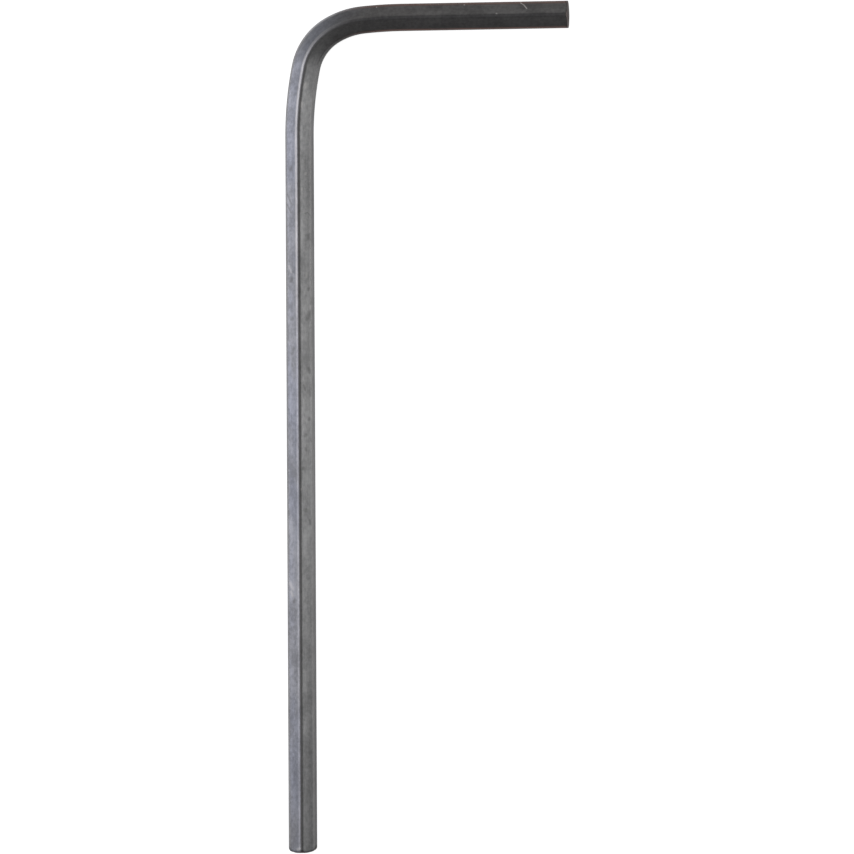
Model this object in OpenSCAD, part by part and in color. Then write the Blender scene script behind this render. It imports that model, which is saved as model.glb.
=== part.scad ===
// Hex key for 1.5 mm socket screws: one length of drawn hexagonal bar, cut to length, bent into
// an L and dressed at its tips. It lies flat, as it comes to rest on a table: the plane of the L
// is level, and each arm rests on one rounded corner of the hexagon. The long arm runs along -Y
// from the bend and the short arm runs along +X. The origin is the middle of the key's
// footprint, on the table.

/* [Bar] */
// Distance across two opposite flats, a little under the 1.5 mm socket
across_flats = 1.49; // [1.2:0.01:2]
// Radius drawn onto each of the six long corners
corner_radius = 0.25; // [0.05:0.01:0.3]

/* [Arms] */
// Reach of the long arm, from its tip to the far side of the short arm
long_reach = 46.5; // [30:0.5:100]
// Reach of the short arm, from its tip to the far side of the long arm
short_reach = 15.5; // [13:0.5:40]

/* [Bend] */
// Angle that the bar turns through, left a little open by its spring-back
bend_turn = 89.2; // [80:0.1:90]
// Inside radius of the slow curve that leads into the bend from the long arm
lead_in_radius = 18.5; // [8:0.5:40]
// Angle of that slow curve
lead_in_turn = 11.3; // [4:0.1:20]
// Inside radius of the tight part of the bend, as the former leaves it
former_radius = 2.3; // [1.5:0.1:5]
// Inside radius of the easier part, where the bar lifts off the former
easing_radius = 3.5; // [2:0.1:8]
// Angle of the easier part
easing_turn = 24.6; // [5:0.1:40]
// Inside radius of the slow curve that runs out into the short arm
run_out_radius = 24.8; // [8:0.1:40]
// Angle of that slow curve
run_out_turn = 5; // [2:0.1:10]

/* [Tips] */
// Width of the flat land in the middle of the long arm's tip, between its inner and outer flat
tip_land = 0.5; // [0.1:0.05:0.8]
// Radius of the shallow crown on each side of the land
crown_radius = 2; // [1.5:0.1:6]
// Radius that rounds the long arm's tip over on its inner and outer flat, where it was nipped off
nipped_radius = 0.3; // [0.1:0.01:0.4]
// Depth of that rounding's middle below the tip, where it all but touches the flat
nipped_depth = 0.33; // [0.1:0.01:0.6]
// Depth of the chamfer that breaks the corners of the long arm's tip, measured on a corner
long_tip_chamfer = 0.07; // [0.01:0.01:0.3]
// Depth of the chamfer that breaks the corners of the short arm's tip, measured on a corner
short_tip_chamfer = 0.07; // [0.01:0.01:0.3]

/* [Hidden] */
$fn = 96;

// Distance from the bar's axis to a flat, to the middle of a corner's rounding and to the corner
flat_height = across_flats / 2;
corner_middle = (flat_height - corner_radius) / cos(30);
corner_height = corner_middle + corner_radius;
// Length of each flat between the roundings
flat_length = 2 * (flat_height - corner_radius) * tan(30);
// Extra that a trimmed piece has beyond its trimmed end
spare = 1;
// Half the width of the nipped blank, a hair over the bar's, so that no two faces coincide
nipped_side = flat_height + 0.003;

// The bend is four arcs, each tangent to the next: [radius at the bar's axis, angle]
tight_turn = bend_turn - lead_in_turn - easing_turn - run_out_turn;
bend_arcs = [
    [lead_in_radius + flat_height, lead_in_turn],
    [former_radius + flat_height, tight_turn],
    [easing_radius + flat_height, easing_turn],
    [run_out_radius + flat_height, run_out_turn]
];
last_arc = len(bend_arcs) - 1;

// Heading of the bar's axis after a number of arcs: the angle turned from +Y towards +X
function heading(arcs) = arcs == 0 ? 0 : heading(arcs - 1) + bend_arcs[arcs - 1][1];
// Direction from the bar's axis to the inside of the bend
function inward(angle) = [cos(angle), -sin(angle)];
// Centre of an arc. Where two arcs meet, both centres lie on one line across the bar. The long
// arm's axis ends at [0, 0].
function centre(arc) = arc == 0 ? bend_arcs[0][0] * inward(0) :
    centre(arc - 1) + (bend_arcs[arc][0] - bend_arcs[arc - 1][0]) * inward(heading(arc));

// Where the short arm starts and ends, and the straight lengths that give the arms their reach
short_start = centre(last_arc) - bend_arcs[last_arc][0] * inward(bend_turn);
short_straight = (short_reach - flat_height - short_start[0]) / sin(bend_turn);
short_end = short_start + short_straight * [sin(bend_turn), cos(bend_turn)];
top = short_end[1] + flat_height * sin(bend_turn);
long_straight = long_reach - top;

// The key's footprint before it is centred
left = -flat_height;
right = short_end[0] + flat_height * cos(bend_turn);
bottom = -long_straight;

// Moves to a point in a coarse step and a fine one, so that rounding opens no seam at a joint
module put_at(point) {
    coarse = [for (part = point) round(part * 100) / 100];
    translate(coarse) translate(point - coarse) children();
}

// Section of the bar, with a flat on each side along X and a corner up and down along Y. Three
// crossed strips make the flats, and a circle at each end of a flat makes the rounded corners.
module bar_section() {
    for (turn = [0, 60, 120])
        rotate(turn) square([across_flats, flat_length], center = true);
    for (turn = [30:60:330])
        rotate(turn) translate([corner_middle, 0]) circle(r = corner_radius);
}

// Blank with a chamfered tip at the origin, turned about Z and hanging down from there
module turned_blank(length, chamfer) {
    land = corner_height - chamfer;
    rim = corner_height + spare;
    rotate_extrude()
        polygon([[0, 0], [land, 0], [rim, land - rim], [rim, -length], [0, -length]]);
}

// Blank with a tip that is rounded over towards both sides along X, hanging down from the origin
module nipped_blank(length) {
    rotate([90, 0, 0])
        linear_extrude(2 * corner_height + spare, center = true) {
            translate([nipped_radius - nipped_side, -length])
                square([2 * (nipped_side - nipped_radius), length]);
            translate([-nipped_side, -length])
                square([2 * nipped_side, length - nipped_depth]);
            for (side = [-1, 1])
                translate([side * (nipped_side - nipped_radius), -nipped_depth])
                    circle(r = nipped_radius);
        }
}

// Blank with a tip that is crowned from side to side along X, hanging down from the origin. Its
// crown stands over the tip by the height of the land that the tip's plane cuts off it.
module crowned_blank(length) {
    centre_depth = sqrt(pow(crown_radius, 2) - pow(tip_land / 2, 2));
    rotate([90, 0, 0])
        linear_extrude(2 * corner_height + spare, center = true) {
            translate([0, -centre_depth]) circle(r = crown_radius);
            translate([-crown_radius, -length])
                square([2 * crown_radius, length - centre_depth]);
        }
}

// Straight arm that stands on the joint and has a chamfer turned on its tip
module arm(length, chamfer) {
    intersection() {
        linear_extrude(length + spare) bar_section();
        translate([0, 0, length]) turned_blank(length + spare, chamfer);
    }
}

// Arc of bar, lying flat about its own centre
module bent_bar(radius, from, to) {
    rotate_extrude(angle = to - from, start = 180 - to)
        put_at([radius, 0]) bar_section();
}

module long_arm() {
    rotate([90, 0, 0])
        intersection() {
            arm(long_straight, long_tip_chamfer);
            translate([0, 0, long_straight]) nipped_blank(long_straight + spare);
            translate([0, 0, long_straight]) crowned_blank(long_straight + spare);
        }
}

module bend() {
    for (arc = [0:last_arc])
        put_at(centre(arc)) bent_bar(bend_arcs[arc][0], heading(arc), heading(arc + 1));
}

module short_arm() {
    put_at(short_start)
        rotate(90 - bend_turn)
            rotate([-90, 0, -90]) arm(short_straight, short_tip_chamfer);
}

module hex_key() {
    color([0.27, 0.27, 0.29])
        translate([-(left + right) / 2, -(top + bottom) / 2, corner_height]) {
            long_arm();
            bend();
            short_arm();
        }
}

hex_key();
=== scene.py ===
import math

import bmesh
import bpy
from bpy.props import FloatProperty, FloatVectorProperty, PointerProperty
from mathutils import Matrix, Vector


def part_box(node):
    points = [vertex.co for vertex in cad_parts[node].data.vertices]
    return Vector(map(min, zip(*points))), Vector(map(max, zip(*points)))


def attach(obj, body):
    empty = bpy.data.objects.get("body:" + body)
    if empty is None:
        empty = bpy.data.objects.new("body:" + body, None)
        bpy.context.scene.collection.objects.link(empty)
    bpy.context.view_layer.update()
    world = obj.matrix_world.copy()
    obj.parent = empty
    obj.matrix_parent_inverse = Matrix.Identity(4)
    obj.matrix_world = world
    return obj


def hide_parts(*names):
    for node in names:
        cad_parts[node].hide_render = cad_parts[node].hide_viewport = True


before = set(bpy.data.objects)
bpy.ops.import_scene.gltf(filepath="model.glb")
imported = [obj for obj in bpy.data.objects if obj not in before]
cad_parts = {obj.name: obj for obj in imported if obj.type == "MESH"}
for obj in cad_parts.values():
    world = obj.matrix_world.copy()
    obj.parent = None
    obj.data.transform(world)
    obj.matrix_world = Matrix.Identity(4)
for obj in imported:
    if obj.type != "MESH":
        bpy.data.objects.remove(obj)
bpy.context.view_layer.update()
cad_low, cad_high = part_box("hex_key")

bl_info = {
    "name": "Hex key",
    "version": (1, 0, 0),
    "blender": (4, 5, 0),
    "location": "3D View > Sidebar > Hex key",
    "description": "A blackened hexagon bar bent into a key, with the studio it is shown in",
    "category": "Object",
}

MM = 0.001
# Angle from one corner of the hexagon to the next
SIXTH = math.pi / 3
# How finely each rounded corner and each flat is divided across the bar
CORNER_STEPS = 10
FLAT_CUTS = 9
# The longest step along the bar, and the widest round an arc
STRAIGHT_STEP = 0.2 * MM
ARC_STEP = math.radians(2)
# Steps inwards over a tip, from its rim to inside its land
TIP_INSETS = [step * MM for step in [0.003, 0.005, 0.008, 0.012] + [0.02] * 10 + [0.045] * 6]
# A ring this far behind each rim keeps the rim sharp
RIM_STEP = 0.012 * MM
# The nipped rounding of the long tip ends before this distance from the tip
NIPPED_REACH = 0.4 * MM
# How far that rounding would stand out over the flats
NIPPED_SPARE = 0.003 * MM
# Points of the bar closer than this are one point
BAR_MERGE = 1e-8
# The floor is flat as far as its radius less its sweep, the radius that it curves up with
FLOOR_RADIUS = 1.0
FLOOR_SWEEP = 0.2
FLOOR_MERGE = 1e-6


class BarSizes(bpy.types.PropertyGroup):
    """Sizes of the bar, its bend and its tips."""

    across_flats: FloatProperty(
        name="Across flats", description="Distance between two opposite flats",
        default=1.49 * MM, min=1 * MM, precision=5, unit="LENGTH")
    corner_radius: FloatProperty(
        name="Corner radius", description="Rounding drawn onto the six long corners",
        default=0.25 * MM, min=0.02 * MM, precision=5, unit="LENGTH")
    lead_in_radius: FloatProperty(
        name="Lead-in radius", description="Inside radius of the slow curve into the bend",
        default=18.5 * MM, precision=5, unit="LENGTH")
    lead_in_turn: FloatProperty(
        name="Lead-in turn", description="Angle of the slow curve into the bend",
        default=math.radians(11.3), subtype="ANGLE")
    former_radius: FloatProperty(
        name="Former radius", description="Inside radius of the tight part of the bend",
        default=2.3 * MM, precision=5, unit="LENGTH")
    bend_turn: FloatProperty(
        name="Bend turn", description="Angle that the bar turns through in all",
        default=math.radians(89.2), subtype="ANGLE")
    easing_radius: FloatProperty(
        name="Easing radius", description="Inside radius where the bar lifts off the former",
        default=3.5 * MM, precision=5, unit="LENGTH")
    easing_turn: FloatProperty(
        name="Easing turn", description="Angle of the part where the bar lifts off the former",
        default=math.radians(24.6), subtype="ANGLE")
    run_out_radius: FloatProperty(
        name="Run-out radius", description="Inside radius of the slow curve into the short arm",
        default=24.8 * MM, precision=5, unit="LENGTH")
    run_out_turn: FloatProperty(
        name="Run-out turn", description="Angle of the slow curve into the short arm",
        default=math.radians(5), subtype="ANGLE")
    tip_land: FloatProperty(
        name="Tip land", description="Width of the flat land in the middle of the long tip",
        default=0.5 * MM, precision=5, unit="LENGTH")
    crown_radius: FloatProperty(
        name="Crown radius", description="Radius of the shallow crown beside the land",
        default=2 * MM, precision=5, unit="LENGTH")
    nipped_radius: FloatProperty(
        name="Nipped radius", description="Rounding of the long tip on its inner and outer flat",
        default=0.3 * MM, precision=5, unit="LENGTH")
    nipped_depth: FloatProperty(
        name="Nipped depth", description="Depth of that rounding's middle below the tip",
        default=0.33 * MM, precision=5, unit="LENGTH")
    long_tip_chamfer: FloatProperty(
        name="Long tip chamfer", description="Depth of the long tip's chamfer, on a corner",
        default=0.07 * MM, precision=5, unit="LENGTH")
    short_tip_chamfer: FloatProperty(
        name="Short tip chamfer", description="Depth of the short tip's chamfer, on a corner",
        default=0.04 * MM, precision=5, unit="LENGTH")
    hollow: FloatProperty(
        name="Hollow", description="How far the middle of each drawn flat lies under its edges",
        default=0.006 * MM, min=0, max=0.02 * MM, precision=5, unit="LENGTH")


class FinishColours(bpy.types.PropertyGroup):
    """Colours of the blackened steel."""

    oxide: FloatVectorProperty(
        name="Oxide", description="Colour of the black oxide on the handled long arm",
        default=(0.24, 0.24, 0.242), size=3, min=0, max=1, subtype="COLOR")
    # Bluish patches of the oxide, and a painted reflection of the bluish left lamp on the outer
    # flat
    blue_film_and_reflection: FloatVectorProperty(
        name="Blue film", description="Colour of the oxide's bluish patches on the outer flat",
        default=(0.227, 0.235, 0.262), size=3, min=0, max=1, subtype="COLOR")
    deep: FloatVectorProperty(
        name="Deep oxide", description="Colour where the oxide is whole, on the short arm",
        default=(0.13, 0.128, 0.128), size=3, min=0, max=1, subtype="COLOR")
    # Also the colour of a painted highlight along the ridge and a painted reflection of the pale
    # floor on the outer corner
    bare_steel_and_highlight: FloatVectorProperty(
        name="Rubbed steel", description="Colour where the oxide is rubbed thin",
        default=(0.42, 0.41, 0.4), size=3, min=0, max=1, subtype="COLOR")
    stain: FloatVectorProperty(
        name="Brown stain", description="Colour of the thin brown film along the corners",
        default=(0.135, 0.093, 0.083), size=3, min=0, max=1, subtype="COLOR")


class StageSettings(bpy.types.PropertyGroup):
    """The floor, the lamps and the camera."""

    floor_colour: FloatVectorProperty(
        name="Floor", description="Colour of the pale floor",
        default=(0.5, 0.5, 0.5), size=3, min=0, max=1, subtype="COLOR")
    floor_glow: FloatProperty(
        name="Floor glow", description="Strength that makes the lit floor white to the camera",
        default=0.9, min=0, max=1, subtype="FACTOR")
    room: FloatProperty(
        name="Room", description="Level of the dim room round the lamps",
        default=0.23, min=0)
    left_lamp: FloatProperty(
        name="Left lamp", description="Brightness of the softbox at the left",
        default=2.3, min=0)
    right_lamp: FloatProperty(
        name="Right lamp", description="Brightness of the softbox at the right",
        default=2.07, min=0)
    bend_lamp: FloatProperty(
        name="Bend lamp", description="Brightness of the softbox beyond the outside of the bend",
        default=0.35, min=0)
    far_lamp: FloatProperty(
        name="Far lamp", description="Brightness of the softbox beyond the short arm",
        default=0.45, min=0)
    lens: FloatProperty(
        name="Lens", description="Focal length in millimetres", default=463.4, min=1,
        unit="CAMERA")
    distance: FloatProperty(
        name="Camera distance", description="Distance from the camera to the key",
        default=0.6, min=0.1, unit="LENGTH")


def inward(turned):
    """Direction from the bar's axis to the inside of the bend, after that much of the turn."""
    return Vector((math.cos(turned), -math.sin(turned), 0))


def ahead(turned):
    """Direction that the bar's axis runs in, after that much of the turn."""
    return Vector((math.sin(turned), math.cos(turned), 0))


def parts_of(geometry, kind):
    """The points, edges or faces among what an operator gives back."""
    return [part for part in geometry if isinstance(part, kind)]


class Bar:
    """A bar that grows ring by ring from its long tip, round the bend, to its short tip."""

    def __init__(self, sizes, start):
        self.bm = bmesh.new()
        self.unbent = self.bm.verts.layers.float_vector.new("unbent")
        self.from_tip = self.bm.verts.layers.float.new("from_tip")
        self.sizes = sizes
        self.flat = sizes.across_flats / 2
        self.middle = (self.flat - sizes.corner_radius) / math.cos(SIXTH / 2)
        self.axis = start.copy()
        self.turned = 0.0
        self.drawn = 0.0
        self.ring = self.section()
        self.rings = [self.points_of_ring()]
        self.mark(self.rings[0])

    def section(self):
        """The hexagon with rounded corners, with a flat on each side and a corner up and down."""
        radius = self.sizes.corner_radius
        made = bmesh.ops.create_circle(
            self.bm, segments=6, radius=self.flat / math.cos(SIXTH / 2))
        bmesh.ops.bevel(
            self.bm, geom=made["verts"], offset=radius * math.tan(SIXTH / 2),
            offset_type="OFFSET", affect="VERTICES", segments=CORNER_STEPS, profile=0.5,
            material=-1)
        for v in self.bm.verts:
            # The bevel's arc is a little flat, so its points go out onto the true circle
            nearest = (round(math.atan2(v.co.y, v.co.x) / SIXTH - 0.5) + 0.5) * SIXTH
            middle = Vector((math.cos(nearest), math.sin(nearest), 0)) * self.middle
            v.co = middle + (v.co - middle).normalized() * radius
        flats = [e for e in self.bm.edges if e.calc_length() > radius]
        half = flats[0].calc_length() / 2
        cuts = bmesh.ops.subdivide_edges(self.bm, edges=flats, cuts=FLAT_CUTS)["geom_inner"]
        for v in parts_of(cuts, bmesh.types.BMVert):
            across = math.sqrt(max(0, v.co.length_squared - self.flat ** 2)) / half
            v.co -= v.co.normalized() * self.sizes.hollow * max(0, 1 - across ** 2)
        bmesh.ops.rotate(
            self.bm, verts=self.bm.verts[:], cent=(0, 0, 0),
            matrix=Matrix.Rotation(math.pi / 2, 3, "X"))
        bmesh.ops.translate(self.bm, verts=self.bm.verts[:], vec=self.axis)
        return self.bm.edges[:]

    def points_of_ring(self):
        """The points of the ring that the bar grows on from."""
        return list({v for edge in self.ring for v in edge.verts})

    def mark(self, verts):
        """Keeps where each point was on the straight bar, for the draw marks to follow."""
        for v in verts:
            off = v.co - self.axis
            v[self.unbent] = (
                off.dot(inward(self.turned)),
                self.drawn + off.dot(ahead(self.turned)),
                off.z)

    def straight(self, *lengths):
        """Draws the bar straight on, in even steps over each length. One under two steps long
        stays whole, because a ring inside the nipped tip would fold it."""
        for length in lengths:
            steps = max(1, int(length / STRAIGHT_STEP))
            for _ in range(steps):
                grown = bmesh.ops.extrude_edge_only(self.bm, edges=self.ring)["geom"]
                move = ahead(self.turned) * length / steps
                points = parts_of(grown, bmesh.types.BMVert)
                bmesh.ops.translate(self.bm, verts=points, vec=move)
                self.axis += move
                self.drawn += length / steps
                self.ring = parts_of(grown, bmesh.types.BMEdge)
                self.rings.append(points)
                self.mark(points)

    def arc(self, inside_radius, turn):
        """Bends the bar round a former."""
        radius = inside_radius + self.flat
        centre = self.axis + inward(self.turned) * radius
        steps = max(math.ceil(turn / ARC_STEP), round(turn * radius / STRAIGHT_STEP))
        for _ in range(steps):
            grown = bmesh.ops.spin(
                self.bm, geom=self.ring, cent=centre, axis=(0, 0, 1), angle=-turn / steps,
                steps=1, use_duplicate=False)["geom_last"]
            self.turned += turn / steps
            self.drawn += radius * turn / steps
            self.axis = centre - inward(self.turned) * radius
            self.ring = parts_of(grown, bmesh.types.BMEdge)
            self.rings.append(parts_of(grown, bmesh.types.BMVert))
            self.mark(self.rings[-1])

    def tip(self, out, support, chamfer, nipped):
        """Closes the open ring with a dressed tip. Out is 1 where the bar's axis runs out of the
        tip and -1 where it runs into it. The support ring lies just behind the tip's rim."""
        made = self.points_of_ring() + support
        size = self.flat
        for inset in TIP_INSETS:
            grown = bmesh.ops.extrude_edge_only(self.bm, edges=self.ring)["geom"]
            points = parts_of(grown, bmesh.types.BMVert)
            bmesh.ops.scale(
                self.bm, verts=points, vec=Vector.Fill(3, 1 - inset / size),
                space=Matrix.Translation(-self.axis))
            size -= inset
            self.ring = parts_of(grown, bmesh.types.BMEdge)
            made += points
            for face in parts_of(grown, bmesh.types.BMFace):
                face.material_index = 1
        for face in bmesh.ops.contextual_create(self.bm, geom=self.ring)["faces"]:
            face.material_index = 1
        for v in made:
            off = v.co - self.axis
            v.co -= ahead(self.turned) * out * self.tip_depth(
                off.dot(inward(self.turned)), off.z, chamfer, nipped)
        self.mark(made)

    def tip_depth(self, side, height, chamfer, nipped):
        """How far the tip's surface lies below its end plane."""
        sizes = self.sizes
        land = self.middle + sizes.corner_radius - chamfer
        depth = max(0.0, math.hypot(side, height) - land)
        if nipped:
            side = abs(side)
            half_land = sizes.tip_land / 2
            if side > half_land:
                depth = max(depth, math.sqrt(sizes.crown_radius ** 2 - half_land ** 2)
                            - math.sqrt(sizes.crown_radius ** 2 - side ** 2))
            over = side - (self.flat + NIPPED_SPARE - sizes.nipped_radius)
            if over > 0:
                rise = math.sqrt(max(0, sizes.nipped_radius ** 2 - over ** 2))
                depth = max(depth, sizes.nipped_depth - rise)
        return depth

    def measure_from_tips(self, length):
        """Keeps how far each point lies behind the nearer tip's rim, for the painted shade there.
        """
        for v in self.bm.verts:
            side, drawn, height = v[self.unbent]
            long_rim = self.tip_depth(side, height, self.sizes.long_tip_chamfer, True)
            short_rim = self.tip_depth(side, height, self.sizes.short_tip_chamfer, False)
            v[self.from_tip] = min(drawn - long_rim, length - drawn - short_rim)


def build_key(sizes):
    """The whole bar as a bmesh, in its place."""
    flat = sizes.across_flats / 2
    height = (flat - sizes.corner_radius) / math.cos(SIXTH / 2) + sizes.corner_radius
    start = Vector((cad_low.x + flat, cad_low.y, height))
    tight_turn = sizes.bend_turn - sizes.lead_in_turn - sizes.easing_turn - sizes.run_out_turn
    arcs = [
        (sizes.lead_in_radius, sizes.lead_in_turn),
        (sizes.former_radius, tight_turn),
        (sizes.easing_radius, sizes.easing_turn),
        (sizes.run_out_radius, sizes.run_out_turn)]
    rise = run = turned = 0.0
    for inside_radius, turn in arcs:
        radius = inside_radius + flat
        rise += radius * (math.sin(turned + turn) - math.sin(turned))
        run += radius * (math.cos(turned) - math.cos(turned + turn))
        turned += turn
    # The short arm's end face leans by the angle that the bend falls short of square
    reach = cad_high.x - flat * math.cos(turned) - start.x - run
    short_straight = reach / math.sin(turned)
    top = cad_high.y - flat * math.sin(turned)
    long_straight = top - short_straight * math.cos(turned) - rise - start.y

    bar = Bar(sizes, start)
    first_ring = bar.ring
    bar.straight(RIM_STEP, NIPPED_REACH - RIM_STEP, long_straight - NIPPED_REACH)
    for inside_radius, turn in arcs:
        bar.arc(inside_radius, turn)
    bar.straight(short_straight - RIM_STEP, RIM_STEP)
    length = bar.drawn
    bar.tip(1, bar.rings[-2], sizes.short_tip_chamfer, nipped=False)
    bar.ring = first_ring
    bar.axis, bar.turned, bar.drawn = start, 0.0, 0.0
    bar.tip(-1, bar.rings[1], sizes.long_tip_chamfer, nipped=True)
    bar.measure_from_tips(length)
    bmesh.ops.remove_doubles(bar.bm, verts=bar.bm.verts[:], dist=BAR_MERGE)
    bmesh.ops.recalc_face_normals(bar.bm, faces=bar.bm.faces[:])
    for face in bar.bm.faces:
        face.smooth = True
    return bar.bm


def add_node(tree, kind, values=None, **settings):
    """Adds a node. Its inputs take a plain value, or the socket that feeds them."""
    node = tree.nodes.new(kind)
    for name, setting in settings.items():
        setattr(node, name, setting)
    for key, value in (values or {}).items():
        if isinstance(value, bpy.types.NodeSocket):
            tree.links.new(value, node.inputs[key])
        else:
            node.inputs[key].default_value = value
    return node


def calc(tree, operation, *values):
    """One operation on single values."""
    return add_node(
        tree, "ShaderNodeMath", dict(enumerate(values)), operation=operation).outputs[0]


def calc_vector(tree, operation, *values):
    """One operation on vectors."""
    return add_node(tree, "ShaderNodeVectorMath", dict(enumerate(values)), operation=operation)


def fade(tree, value, low, high):
    """Rises smoothly from 0 at low to 1 at high."""
    values = {"Value": value, "From Min": low, "From Max": high}
    return add_node(
        tree, "ShaderNodeMapRange", values, interpolation_type="SMOOTHSTEP").outputs[0]


def blend(tree, share, first, second):
    """Goes from the first colour to the second by the share."""
    return add_node(
        tree, "ShaderNodeMix", {0: share, 6: first, 7: second}, data_type="RGBA").outputs[2]


def product(tree, *factors):
    """The product of masks or single values."""
    result = factors[0]
    for factor in factors[1:]:
        result = calc(tree, "MULTIPLY", result, factor)
    return result


def largest(tree, *masks):
    """The largest of some masks or single values."""
    result = masks[0]
    for mask in masks[1:]:
        result = calc(tree, "MAXIMUM", result, mask)
    return result


def plus(tree, base, gain, mask):
    """The base, plus the gain times the mask."""
    return calc(tree, "MULTIPLY_ADD", mask, gain, base)


def band(tree, value, low, full, still_full, high):
    """Rises from 0 at low to 1 at full, and falls from 1 at still_full to 0 at high."""
    return product(tree, fade(tree, value, low, full), fade(tree, value, high, still_full))


def scaled(tree, vector, factor):
    """The vector or colour times the factor."""
    return add_node(
        tree, "ShaderNodeVectorMath", {0: vector, "Scale": factor}, operation="SCALE").outputs[0]


def coat(tree, colour, share, paint):
    """Covers the colour with one plain paint by the share."""
    return blend(tree, share, colour, (*paint, 1))


def start_group(name, inputs, output):
    """A new node group with named inputs and one output."""
    group = bpy.data.node_groups.new(name, "ShaderNodeTree")
    for label, default in inputs.items():
        vector = isinstance(default, tuple)
        socket = group.interface.new_socket(
            label, in_out="INPUT", socket_type="NodeSocketVector" if vector else "NodeSocketFloat")
        socket.default_value = default
    group.interface.new_socket(output, in_out="OUTPUT", socket_type="NodeSocketFloat")
    return group, group.nodes.new("NodeGroupInput").outputs


def end_group(group, result):
    """Gives the group its result, and gives the group back."""
    group.links.new(result, group.nodes.new("NodeGroupOutput").inputs[0])
    return group


def draw_marks_group():
    """Fine streaks that the drawing die leaves along the bar, 0 to 1."""
    group, given = start_group(
        "Draw marks", {"Place": (0.0, 0.0, 0.0), "Width": 0.05, "Length": 2.0}, "Streaks")
    fine = calc(group, "DIVIDE", 1.0, given["Width"])
    scale = add_node(group, "ShaderNodeCombineXYZ", {
        "X": fine, "Y": calc(group, "DIVIDE", 1.0, given["Length"]), "Z": fine}).outputs[0]
    place = calc_vector(group, "MULTIPLY", given["Place"], scale).outputs[0]
    noise = add_node(group, "ShaderNodeTexNoise", {
        "Vector": place, "Scale": 1.0, "Detail": 2.0, "Roughness": 0.6})
    return end_group(group, noise.outputs[0])


def mottling_group():
    """Cloudy patches in the oxide, 0 to 1."""
    group, given = start_group(
        "Mottling", {"Place": (0.0, 0.0, 0.0), "Size": 0.2, "Stretch": 1.0}, "Clouds")
    across = calc(group, "DIVIDE", 1.0, given["Size"])
    scale = add_node(group, "ShaderNodeCombineXYZ", {
        "X": across, "Y": calc(group, "DIVIDE", across, given["Stretch"]),
        "Z": across}).outputs[0]
    place = calc_vector(group, "MULTIPLY", given["Place"], scale).outputs[0]
    noise = add_node(group, "ShaderNodeTexNoise", {
        "Vector": place, "Scale": 1.0, "Detail": 4.0, "Roughness": 0.6})
    return end_group(group, noise.outputs[0])


def pits_group():
    """Small round pits, scattered, 0 to 1."""
    group, given = start_group(
        "Pits", {"Place": (0.0, 0.0, 0.0), "Spacing": 0.5, "Radius": 0.04, "Share": 0.3}, "Pits")
    scale = calc(group, "DIVIDE", 1.0, given["Spacing"])
    cells = add_node(
        group, "ShaderNodeTexVoronoi", {"Vector": given["Place"], "Scale": scale})
    reach = calc(group, "DIVIDE", given["Radius"], given["Spacing"])
    near = fade(group, cells.outputs["Distance"], reach, 0.0)
    chosen = calc(
        group, "LESS_THAN", add_node(group, "ShaderNodeSeparateColor", {
            0: cells.outputs["Color"]}).outputs[0], given["Share"])
    return end_group(group, calc(group, "MULTIPLY", near, chosen))


def ridge_group():
    """The rounded corners of the bar, 1 on a corner and 0 on the flats."""
    group, given = start_group(
        "Ridges", {"Place": (0.0, 0.0, 0.0), "From": 0.79, "To": 0.82}, "Ridges")
    crossed = calc_vector(group, "MULTIPLY", given["Place"], (1.0, 0.0, 1.0)).outputs[0]
    out = calc_vector(group, "LENGTH", crossed).outputs["Value"]
    return end_group(group, fade(group, out, given["From"], given["To"]))


def stroke_group():
    """A straight scratch or smear on the bar's upper side, from one point to another."""
    group, given = start_group("Stroke", {
        "Place": (0.0, 0.0, 0.0), "From": (0.0, 0.0, 0.0), "To": (0.0, 1.0, 0.0),
        "Width": 0.05, "Softness": 0.5}, "Stroke")
    level = calc_vector(group, "MULTIPLY", given["Place"], (1.0, 1.0, 0.0)).outputs[0]
    off = calc_vector(group, "SUBTRACT", level, given["From"]).outputs[0]
    run = calc_vector(group, "SUBTRACT", given["To"], given["From"]).outputs[0]
    share = calc(
        group, "DIVIDE", calc_vector(group, "DOT_PRODUCT", off, run).outputs["Value"],
        calc_vector(group, "DOT_PRODUCT", run, run).outputs["Value"])
    share = calc(group, "MINIMUM", calc(group, "MAXIMUM", share, 0.0), 1.0)
    nearest = scaled(group, run, share)
    apart = calc_vector(group, "DISTANCE", off, nearest).outputs["Value"]
    half = calc(group, "MULTIPLY", given["Width"], 0.5)
    inner = calc(group, "MULTIPLY", half, calc(group, "SUBTRACT", 1.0, given["Softness"]))
    outer = calc(group, "MULTIPLY", half, calc(group, "ADD", 1.0, given["Softness"]))
    mask = fade(group, apart, outer, inner)
    height = add_node(group, "ShaderNodeSeparateXYZ", {0: given["Place"]}).outputs["Z"]
    return end_group(group, calc(group, "MULTIPLY", mask, fade(group, height, 0.0, 0.1)))


def use_group(tree, group, **values):
    """Places a group in a material with the material's own values."""
    return add_node(tree, "ShaderNodeGroup", values, node_tree=group).outputs[0]


def start_steel(name):
    """A metal whose place on the straight bar is known, in millimetres."""
    material = bpy.data.materials.new(name)
    material.use_nodes = True
    tree = material.node_tree
    shader = tree.nodes["Principled BSDF"]
    shader.inputs["Metallic"].default_value = 1
    shader.inputs["Specular Tint"].default_value = (0.35, 0.35, 0.35, 1)
    unbent = add_node(tree, "ShaderNodeAttribute", attribute_name="unbent")
    return material, tree, shader, scaled(tree, unbent.outputs["Vector"], 1 / MM)


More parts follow.
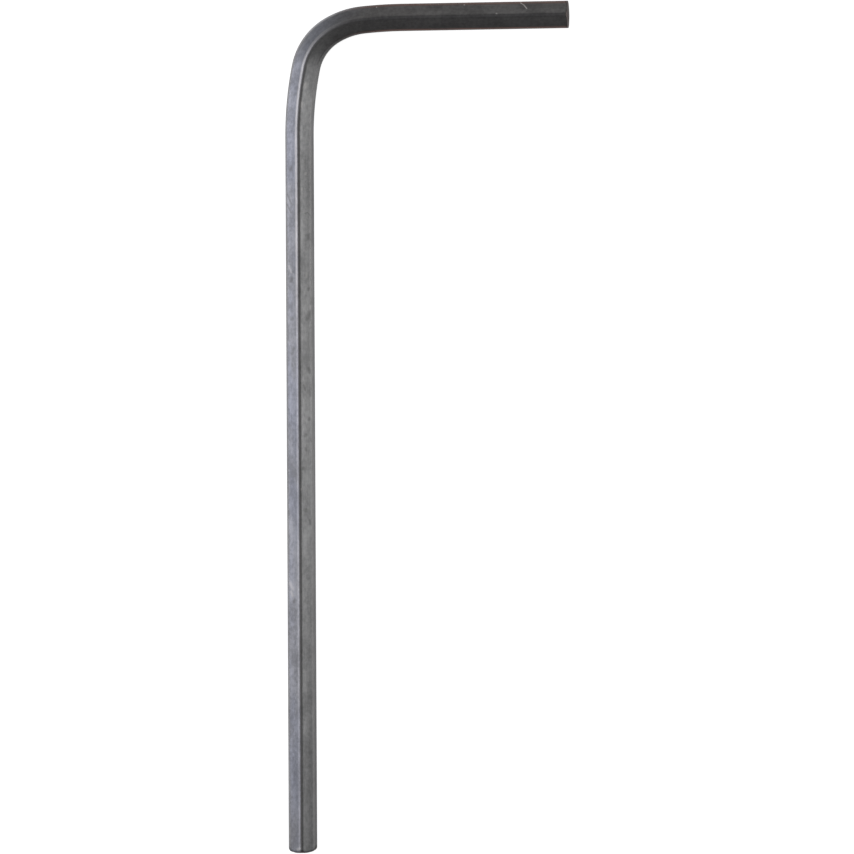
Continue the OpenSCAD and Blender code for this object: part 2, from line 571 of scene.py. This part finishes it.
# Marks on the upper side: from and to as (towards the inside, along the bar), width, softness
SCRATCHES = (
    ((-0.67, 56.02), (-0.56, 56.2), 0.035, 0.5),
    ((-0.56, 56.2), (-0.36, 56.37), 0.055, 0.6),
)
SPECKS = (
    ((-0.13, 54.71), (-0.11, 54.74), 0.06, 0.6),
    ((-0.62, 52.92), (-0.62, 52.96), 0.05, 0.7),
    ((-0.63, 48.16), (-0.61, 48.16), 0.05, 0.7),
    ((0.11, 19.88), (0.11, 19.95), 0.07, 0.7),
)
DENTS = (
    ((0.52, 23.71), (0.52, 23.79), 0.12, 0.8),
    ((0.3, 22.8), (0.33, 22.9), 0.14, 0.9),
    ((0.36, 22.05), (0.33, 22.15), 0.13, 0.9),
    ((0.2, 21.0), (0.2, 21.1), 0.11, 0.9),
    ((0.33, 18.7), (0.34, 18.8), 0.13, 0.9),
    ((0.52, 18.2), (0.55, 18.0), 0.12, 0.95),
    ((-0.62, 18.7), (-0.62, 18.5), 0.09, 0.9),
    ((-0.36, 13.75), (-0.3, 13.85), 0.16, 0.9),
    ((0.25, 25.6), (0.33, 25.3), 0.08, 0.9),
    ((0.5, 26.5), (0.56, 26.3), 0.16, 0.95),
    ((-0.31, 27.55), (-0.29, 27.6), 0.18, 0.95),
    ((-0.4, 29.18), (-0.36, 29.22), 0.16, 0.95),
    ((0.58, 29.55), (0.5, 29.25), 0.24, 0.95),
    ((0.655, 30.3), (0.66, 30.05), 0.14, 0.9),
    ((0.515, 30.79), (0.51, 30.86), 0.14, 0.7),
    ((-0.36, 31.4), (-0.46, 31.25), 0.14, 0.9),
    ((0.51, 33.75), (0.53, 33.6), 0.22, 0.95),
    ((0.36, 34.97), (0.5, 35.02), 0.05, 0.8),
    ((0.5, 35.02), (0.62, 34.84), 0.05, 0.8),
    ((-0.62, 36.0), (-0.4, 35.5), 0.08, 0.95),
    ((-0.6, 35.4), (-0.42, 35.0), 0.08, 0.95),
    ((-0.43, 37.38), (-0.4, 37.45), 0.22, 0.95),
)
RUBS = (
    ((0.2, 41.9), (0.24, 42.1), 0.2, 0.9),
    ((0.1, 40.8), (0.12, 41.0), 0.16, 0.9),
    ((-0.57, 14.75), (-0.42, 14.45), 0.15, 0.95),
    ((-0.52, 14.3), (-0.44, 14.1), 0.13, 0.95),
    ((-0.2, 0.2), (-0.05, 0.24), 0.14, 0.9),
    ((-0.56, 32.1), (-0.42, 31.75), 0.1, 0.8),
    ((0.4, 37.1), (0.42, 37.18), 0.09, 0.8),
    ((0.43, 31.5), (0.44, 31.7), 0.09, 0.9),
    ((0.21, 36.25), (0.22, 36.35), 0.07, 0.8),
)


def strokes(tree, group, place, rows):
    """All the strokes of one sort as one mask."""
    return largest(tree, *(
        use_group(
            tree, group, Place=place, From=(*start, 0.0), To=(*stop, 0.0), Width=width,
            Softness=softness)
        for start, stop, width, softness in rows))


def add_bump(tree, shader, height, strength, distance):
    """Raises and sinks the surface by a height."""
    bump = add_node(tree, "ShaderNodeBump", {
        "Strength": strength, "Distance": distance, "Height": height})
    tree.links.new(bump.outputs[0], shader.inputs["Normal"])


class BarFinish:
    """The patterns on the drawn bar, and the masks of where its oxide is rubbed, whole or stained,
    and of where light and shade are painted on it. Side is how far a point lies from the axis
    towards the inside of the bend, and drawn how far it lies from the long tip along the straight
    bar, both in millimetres."""

    def __init__(self, tree, groups, place):
        self.tree = tree
        axes = add_node(tree, "ShaderNodeSeparateXYZ", {0: place}).outputs
        self.side, self.drawn = axes["X"], axes["Y"]
        self.streaks = use_group(tree, groups["draw marks"], Place=place, Width=0.06, Length=1.5)
        self.patches = use_group(tree, groups["mottling"], Place=place, Size=0.9, Stretch=1.6)
        self.grain = use_group(tree, groups["mottling"], Place=place, Size=0.16, Stretch=1.2)
        self.hues = use_group(tree, groups["mottling"], Place=place, Size=1.3, Stretch=3.0)
        self.pits = use_group(
            tree, groups["pits"], Place=place, Spacing=0.6, Radius=0.07, Share=0.25)
        self.ridges = use_group(tree, groups["ridges"], Place=place, From=0.772, To=0.79)
        tone = plus(tree, product(tree, self.grain, 0.4), 0.45, self.patches)
        self.thin = fade(tree, plus(tree, tone, 0.15, self.streaks), 0.36, 0.64)
        self.patchy = fade(tree, self.patches, 0.1, 0.5)
        # Handling has rubbed the long arm, and the outside of the bend further than its inside.
        # The short arm keeps its oxide.
        self.handled = fade(tree, plus(tree, self.drawn, 2.0, self.side), 47.3, 42.8)

    def oxide(self, colours):
        """The oxide's colour: bluish on the outer flat of the long arm, in patches and as a
        painted reflection of the bluish left lamp, deep on the short arm.
        """
        tree = self.tree
        patchy = plus(tree, 0.4, 0.6, fade(tree, self.hues, 0.38, 0.62))
        # Painted reflection: the bluish colour lies only on the outer flat, which faces the bluish
        # left lamp, in patches
        blue = product(tree, fade(tree, self.side, 0.1, -0.1), patchy)
        handled = blend(tree, blue, (*colours.oxide, 1), (*colours.blue_film_and_reflection, 1))
        return blend(tree, self.handled, (*colours.deep, 1), handled)

    def wear_and_painted_light(self):
        """How pale the oxide is. A thumb has worn the long arm's inner flat most, along its middle
        and at the bend, and then the outer flat ahead of the bend. The inner flat growing paler
        away from the ridge is painted light, and the bar growing darker towards the long tip is
        painted shade."""
        tree, side, drawn = self.tree, self.side, self.drawn
        # Thumb wear along the arm, with painted light across the inner flat, paler away from the
        # ridge
        inner = product(tree, fade(tree, side, 0.05, 0.65), largest(
            tree, band(tree, drawn, 6.0, 20.0, 31.0, 36.0),
            band(tree, drawn, 37.0, 40.5, 43.0, 46.0)))
        outer = product(
            tree, fade(tree, side, 0.0, -0.15), band(tree, drawn, 34.0, 37.0, 40.0, 42.0))
        thumb_wear_and_painted_light = plus(tree, product(tree, outer, 0.12), 0.4, inner)
        # Thin oxide is paler; the last factor is painted shade, darker towards the long tip
        return product(
            tree, plus(tree, 0.79, 0.42, self.thin), calc(tree, "ADD", thumb_wear_and_painted_light, 1.0),
            plus(tree, 0.7, 0.3, fade(tree, drawn, -5.0, 15.0)))

    def rubbed_corners_and_painted_light(self):
        """The long arm's ridge, paler where it leaves the outer flat and a little on its crown, by
        rubbing and by a painted highlight, and the corner below the outer flat, with a painted
        reflection of the pale floor."""
        tree, side, drawn = self.tree, self.side, self.drawn
        # Rubbed steel with a painted highlight along the ridge
        bright = product(
            tree, fade(tree, side, 0.02, -0.06),
            plus(tree, 0.17, 0.52, fade(tree, drawn, 28.0, 32.0)))
        dull = product(tree, fade(tree, side, -0.08, 0.0), 0.28)
        ridge = product(tree, band(tree, side, -0.2, -0.15, 0.04, 0.09), largest(
            tree, bright, dull))
        # Painted reflection of the pale floor on the corner below the outer flat
        corner = product(tree, fade(tree, side, -0.6, -0.66), 0.35)
        return product(
            tree, largest(tree, ridge, corner), self.ridges, self.handled, self.patchy)

    def whole_oxide(self):
        """The corner along the inner side of the long arm, where the oxide stays whole."""
        return product(
            self.tree, band(self.tree, self.side, 0.585, 0.66, 0.68, 0.8), self.handled, 0.83)

    def brown_film(self):
        """The corners on both sides of the short arm, and less of the flats between them."""
        tree = self.tree
        aside = calc(tree, "ABSOLUTE", self.side)
        return product(
            tree, fade(tree, aside, 0.58, 0.67),
            plus(tree, 1.0, -0.75, fade(tree, aside, 0.69, 0.738)),
            plus(tree, 1.0, -0.9, self.handled), self.patchy,
            fade(tree, self.drawn, 45.0, 48.5))

    def bend_painted_shade(self):
        """Painted shade on the edge of the bar on the inside of the bend."""
        return product(
            self.tree, fade(self.tree, self.side, 0.58, 0.66),
            band(self.tree, self.drawn, 41.5, 44.0, 46.5, 49.0))

    def tip_rim_painted_shade(self):
        """Painted shade along the rims of the tips, three times as wide at the long tip as at the
        short one.
        """
        tree = self.tree
        behind = add_node(tree, "ShaderNodeAttribute", attribute_name="from_tip").outputs["Fac"]
        behind = product(tree, behind, plus(tree, 1.0, 2.0, fade(tree, self.drawn, 20.0, 40.0)))
        return fade(tree, behind, 0.15 * MM, 0.06 * MM)


def oxide_on_drawn_steel(colours, groups):
    """Black oxide on the drawn bar, rubbed paler along the long arm, with painted light and shade.
    """
    material, tree, shader, place = start_steel("oxide_on_drawn_steel")
    bar = BarFinish(tree, groups, place)
    # Oxide paled by wear, with painted light across the inner flat and painted shade towards the
    # long tip
    colour = scaled(tree, bar.oxide(colours), bar.wear_and_painted_light())
    # Rubbed steel on the corners, with a painted highlight along the ridge and a painted
    # reflection on the outer corner
    colour = coat(tree, colour, bar.rubbed_corners_and_painted_light(), colours.bare_steel_and_highlight)
    colour = coat(tree, colour, bar.whole_oxide(), colours.deep)
    colour = coat(tree, colour, bar.brown_film(), colours.stain)
    # Painted shade: the edge on the inside of the bend is darkened to 0.6
    colour = scaled(tree, colour, plus(tree, 1.0, -0.4, bar.bend_painted_shade()))

    scratches, specks, dents, rubs = (
        strokes(tree, groups["stroke"], place, rows)
        for rows in (SCRATCHES, SPECKS, DENTS, RUBS))
    pale = largest(tree, scratches, product(tree, specks, 0.8), product(tree, rubs, 0.5))
    colour = coat(tree, colour, pale, colours.bare_steel_and_highlight)
    dark = largest(tree, product(tree, bar.pits, 0.5), product(tree, dents, 0.55))
    colour = coat(tree, colour, dark, colours.deep)
    # Painted shade: the colour is halved along the rims of the tips
    colour = scaled(tree, colour, plus(tree, 1.0, -0.5, bar.tip_rim_painted_shade()))
    tree.links.new(colour, shader.inputs["Base Color"])

    tree.links.new(plus(tree, 0.41, -0.06, bar.thin), shader.inputs["Roughness"])
    raised = plus(tree, bar.grain, 0.4, bar.streaks)
    sunk = calc(tree, "ADD", plus(tree, bar.pits, 0.2, dents), scratches)
    add_bump(tree, shader, calc(tree, "SUBTRACT", raised, sunk), 0.5, 0.002 * MM)
    return material


def oxide_on_cut_steel(colours, groups):
    """The tips, where the bar was cut: browner, with the marks of the cut across them."""
    material, tree, shader, place = start_steel("oxide_on_cut_steel")
    marks = use_group(tree, groups["mottling"], Place=place, Size=0.09, Stretch=0.4)
    patches = use_group(tree, groups["mottling"], Place=place, Size=0.3, Stretch=1.0)
    brown = product(tree, fade(tree, patches, 0.2, 0.6), 0.5)
    colour = blend(tree, brown, (*colours.deep, 1), (*colours.stain, 1))
    shade = add_node(tree, "ShaderNodeMapRange", {
        "Value": marks, "From Min": 0.3, "From Max": 0.7, "To Min": 0.7,
        "To Max": 1.1}).outputs[0]
    colour = scaled(tree, colour, shade)
    rubs = strokes(tree, groups["stroke"], place, RUBS)
    colour = coat(tree, colour, product(tree, rubs, 0.4), colours.bare_steel_and_highlight)
    tree.links.new(colour, shader.inputs["Base Color"])
    tree.links.new(plus(tree, 0.4, 0.2, marks), shader.inputs["Roughness"])
    add_bump(tree, shader, marks, 0.6, 0.004 * MM)
    return material


class HEXKEY_OT_bar(bpy.types.Operator):
    """Makes the bent bar in its finish, in place of the plain CAD solid"""

    bl_idname = "hexkey.bar"
    bl_label = "Bar"

    def execute(self, context):
        key = context.scene.hex_key
        bm = build_key(key.sizes)
        mesh = bpy.data.meshes.new("hex_key_bar")
        bm.to_mesh(mesh)
        bm.free()
        groups = {
            "draw marks": draw_marks_group(), "mottling": mottling_group(),
            "pits": pits_group(), "ridges": ridge_group(), "stroke": stroke_group()}
        mesh.materials.append(oxide_on_drawn_steel(key.colours, groups))
        mesh.materials.append(oxide_on_cut_steel(key.colours, groups))
        bar = bpy.data.objects.new("hex_key_bar", mesh)
        context.scene.collection.objects.link(bar)
        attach(bar, "root")
        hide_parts("hex_key")
        return {"FINISHED"}


def make_floor(stage):
    """A pale floor that sweeps up at its rim."""
    bm = bmesh.new()
    middle = bm.verts.new((0, 0, 0))
    edge = bm.verts.new((FLOOR_RADIUS, 0, 0))
    bm.edges.new((middle, edge))
    bmesh.ops.spin(
        bm, geom=[edge], cent=(FLOOR_RADIUS, 0, FLOOR_SWEEP), axis=(0, 1, 0),
        angle=-math.pi / 2, steps=12)
    bmesh.ops.spin(
        bm, geom=bm.verts[:] + bm.edges[:], cent=(0, 0, 0), axis=(0, 0, 1),
        angle=2 * math.pi, steps=96, use_merge=True)
    bmesh.ops.remove_doubles(bm, verts=bm.verts[:], dist=FLOOR_MERGE)
    bmesh.ops.recalc_face_normals(bm, faces=bm.faces[:])
    for face in bm.faces:
        face.smooth = True
    mesh = bpy.data.meshes.new("floor")
    bm.to_mesh(mesh)
    bm.free()
    if mesh.polygons[0].normal.z < 0:
        mesh.flip_normals()
    mesh.materials.append(floor_material(stage))
    floor = bpy.data.objects.new("floor", mesh)
    bpy.context.scene.collection.objects.link(floor)


def floor_material(stage):
    """Pale and matt, white to the camera and in the steel, and clear to a camera below it."""
    material = bpy.data.materials.new("pale_floor")
    material.use_nodes = True
    tree = material.node_tree
    shader = tree.nodes["Principled BSDF"]
    shader.inputs["Base Color"].default_value = (*stage.floor_colour, 1)
    shader.inputs["Roughness"].default_value = 0.9
    shader.inputs["Emission Color"].default_value = (1, 1, 1, 1)
    rays = add_node(tree, "ShaderNodeLightPath").outputs
    seen = largest(
        tree, rays["Is Camera Ray"], rays["Is Glossy Ray"], rays["Is Transmission Ray"])
    tree.links.new(product(tree, seen, stage.floor_glow), shader.inputs["Emission Strength"])
    back = add_node(tree, "ShaderNodeNewGeometry").outputs["Backfacing"]
    mix = add_node(tree, "ShaderNodeMixShader", {
        0: product(tree, back, rays["Is Camera Ray"]), 1: shader.outputs[0],
        2: add_node(tree, "ShaderNodeBsdfTransparent").outputs[0]})
    tree.links.new(mix.outputs[0], tree.nodes["Material Output"].inputs["Surface"])
    return material


def add_softbox(name, lean, swing, distance, width, height, brightness, colour):
    """A rectangular lamp that faces the key. Lean is its angle from overhead towards the right,
    swing its angle from there towards the bend, and brightness what a mirror would show of it."""
    data = bpy.data.lights.new(name, "AREA")
    data.shape = "RECTANGLE"
    data.size = width
    data.size_y = height
    data.energy = brightness * math.pi * width * height
    data.color = colour
    lamp = bpy.data.objects.new(name, data)
    toward = Vector((
        math.sin(lean) * math.cos(swing), math.sin(swing), math.cos(lean) * math.cos(swing)))
    along = (Vector((0, 1, 0)) - toward.y * toward).normalized()
    place = Matrix((along.cross(toward), along, toward)).transposed().to_4x4()
    place.translation = toward * distance
    lamp.matrix_world = place
    lamp.visible_camera = False
    bpy.context.scene.collection.objects.link(lamp)


def add_camera(stage):
    """The photograph's camera, found by fitting the key to its outline."""
    yaw, pitch, roll = (math.radians(a) for a in (6.549, 2.298, -0.259))
    target = Vector((-0.0755, 0.0317, 0.8235)) * MM
    back = Vector((math.sin(yaw), math.sin(pitch), 0))
    back.z = math.sqrt(1 - back.length_squared)
    up = Vector((0, 1, 0))
    up = (up - up.dot(back) * back).normalized()
    up = Matrix.Rotation(roll, 3, back) @ up
    right = up.cross(back)
    data = bpy.data.cameras.new("camera")
    data.lens = stage.lens
    data.sensor_width = 36
    data.clip_start, data.clip_end = 0.01, 10
    camera = bpy.data.objects.new("camera", data)
    bpy.context.scene.collection.objects.link(camera)
    place = Matrix((right, up, back)).transposed().to_4x4()
    place.translation = target + back * stage.distance
    camera.matrix_world = place
    bpy.context.scene.camera = camera


class HEXKEY_OT_stage(bpy.types.Operator):
    """Makes the pale floor, the soft lamps, the room and the camera"""

    bl_idname = "hexkey.stage"
    bl_label = "Stage"

    def execute(self, context):
        stage = context.scene.hex_key.stage
        make_floor(stage)
        for name, lean, swing, distance, width, height, brightness, colour in (
                ("left_softbox", -47, 3, 0.35, 0.3, 0.17, stage.left_lamp, (0.93, 0.925, 1)),
                ("right_softbox", 68, 5, 0.3, 0.14, 0.18, stage.right_lamp, (1, 1, 1)),
                ("bend_softbox", -55, 34, 0.5, 0.25, 0.25, stage.bend_lamp, (0.92, 0.94, 1)),
                ("far_softbox", -6, 62, 0.5, 0.3, 0.3, stage.far_lamp, (1, 0.98, 0.96))):
            add_softbox(
                name, math.radians(lean), math.radians(swing), distance, width, height,
                brightness, colour)
        world = bpy.data.worlds.new("room")
        world.use_nodes = True
        world.node_tree.nodes["Background"].inputs["Color"].default_value = (1, 1, 1, 1)
        world.node_tree.nodes["Background"].inputs["Strength"].default_value = stage.room
        context.scene.world = world
        add_camera(stage)
        context.scene.view_settings.view_transform = "Standard"
        return {"FINISHED"}


class HexKeySettings(bpy.types.PropertyGroup):
    """Everything that a user would change."""

    sizes: PointerProperty(type=BarSizes)
    colours: PointerProperty(type=FinishColours)
    stage: PointerProperty(type=StageSettings)


class HEXKEY_PT_panel(bpy.types.Panel):
    """Sizes, colours and the steps that build the key"""

    bl_idname = "HEXKEY_PT_panel"
    bl_label = "Hex key"
    bl_space_type = "VIEW_3D"
    bl_region_type = "UI"
    bl_category = "Hex key"

    def draw(self, context):
        key = context.scene.hex_key
        for group in (key.sizes, key.colours, key.stage):
            box = self.layout.box()
            for name in group.__annotations__:
                box.prop(group, name)
        for operator in (HEXKEY_OT_bar, HEXKEY_OT_stage):
            self.layout.operator(operator.bl_idname)


CLASSES = (
    BarSizes, FinishColours, StageSettings, HexKeySettings,
    HEXKEY_OT_bar, HEXKEY_OT_stage, HEXKEY_PT_panel)


def register():
    for each in CLASSES:
        bpy.utils.register_class(each)
    bpy.types.Scene.hex_key = PointerProperty(type=HexKeySettings)


def unregister():
    del bpy.types.Scene.hex_key
    for each in reversed(CLASSES):
        bpy.utils.unregister_class(each)


def main():
    """Builds the key and its stage."""
    register()
    bpy.ops.hexkey.bar()
    bpy.ops.hexkey.stage()


if __name__ == "__main__":
    main()
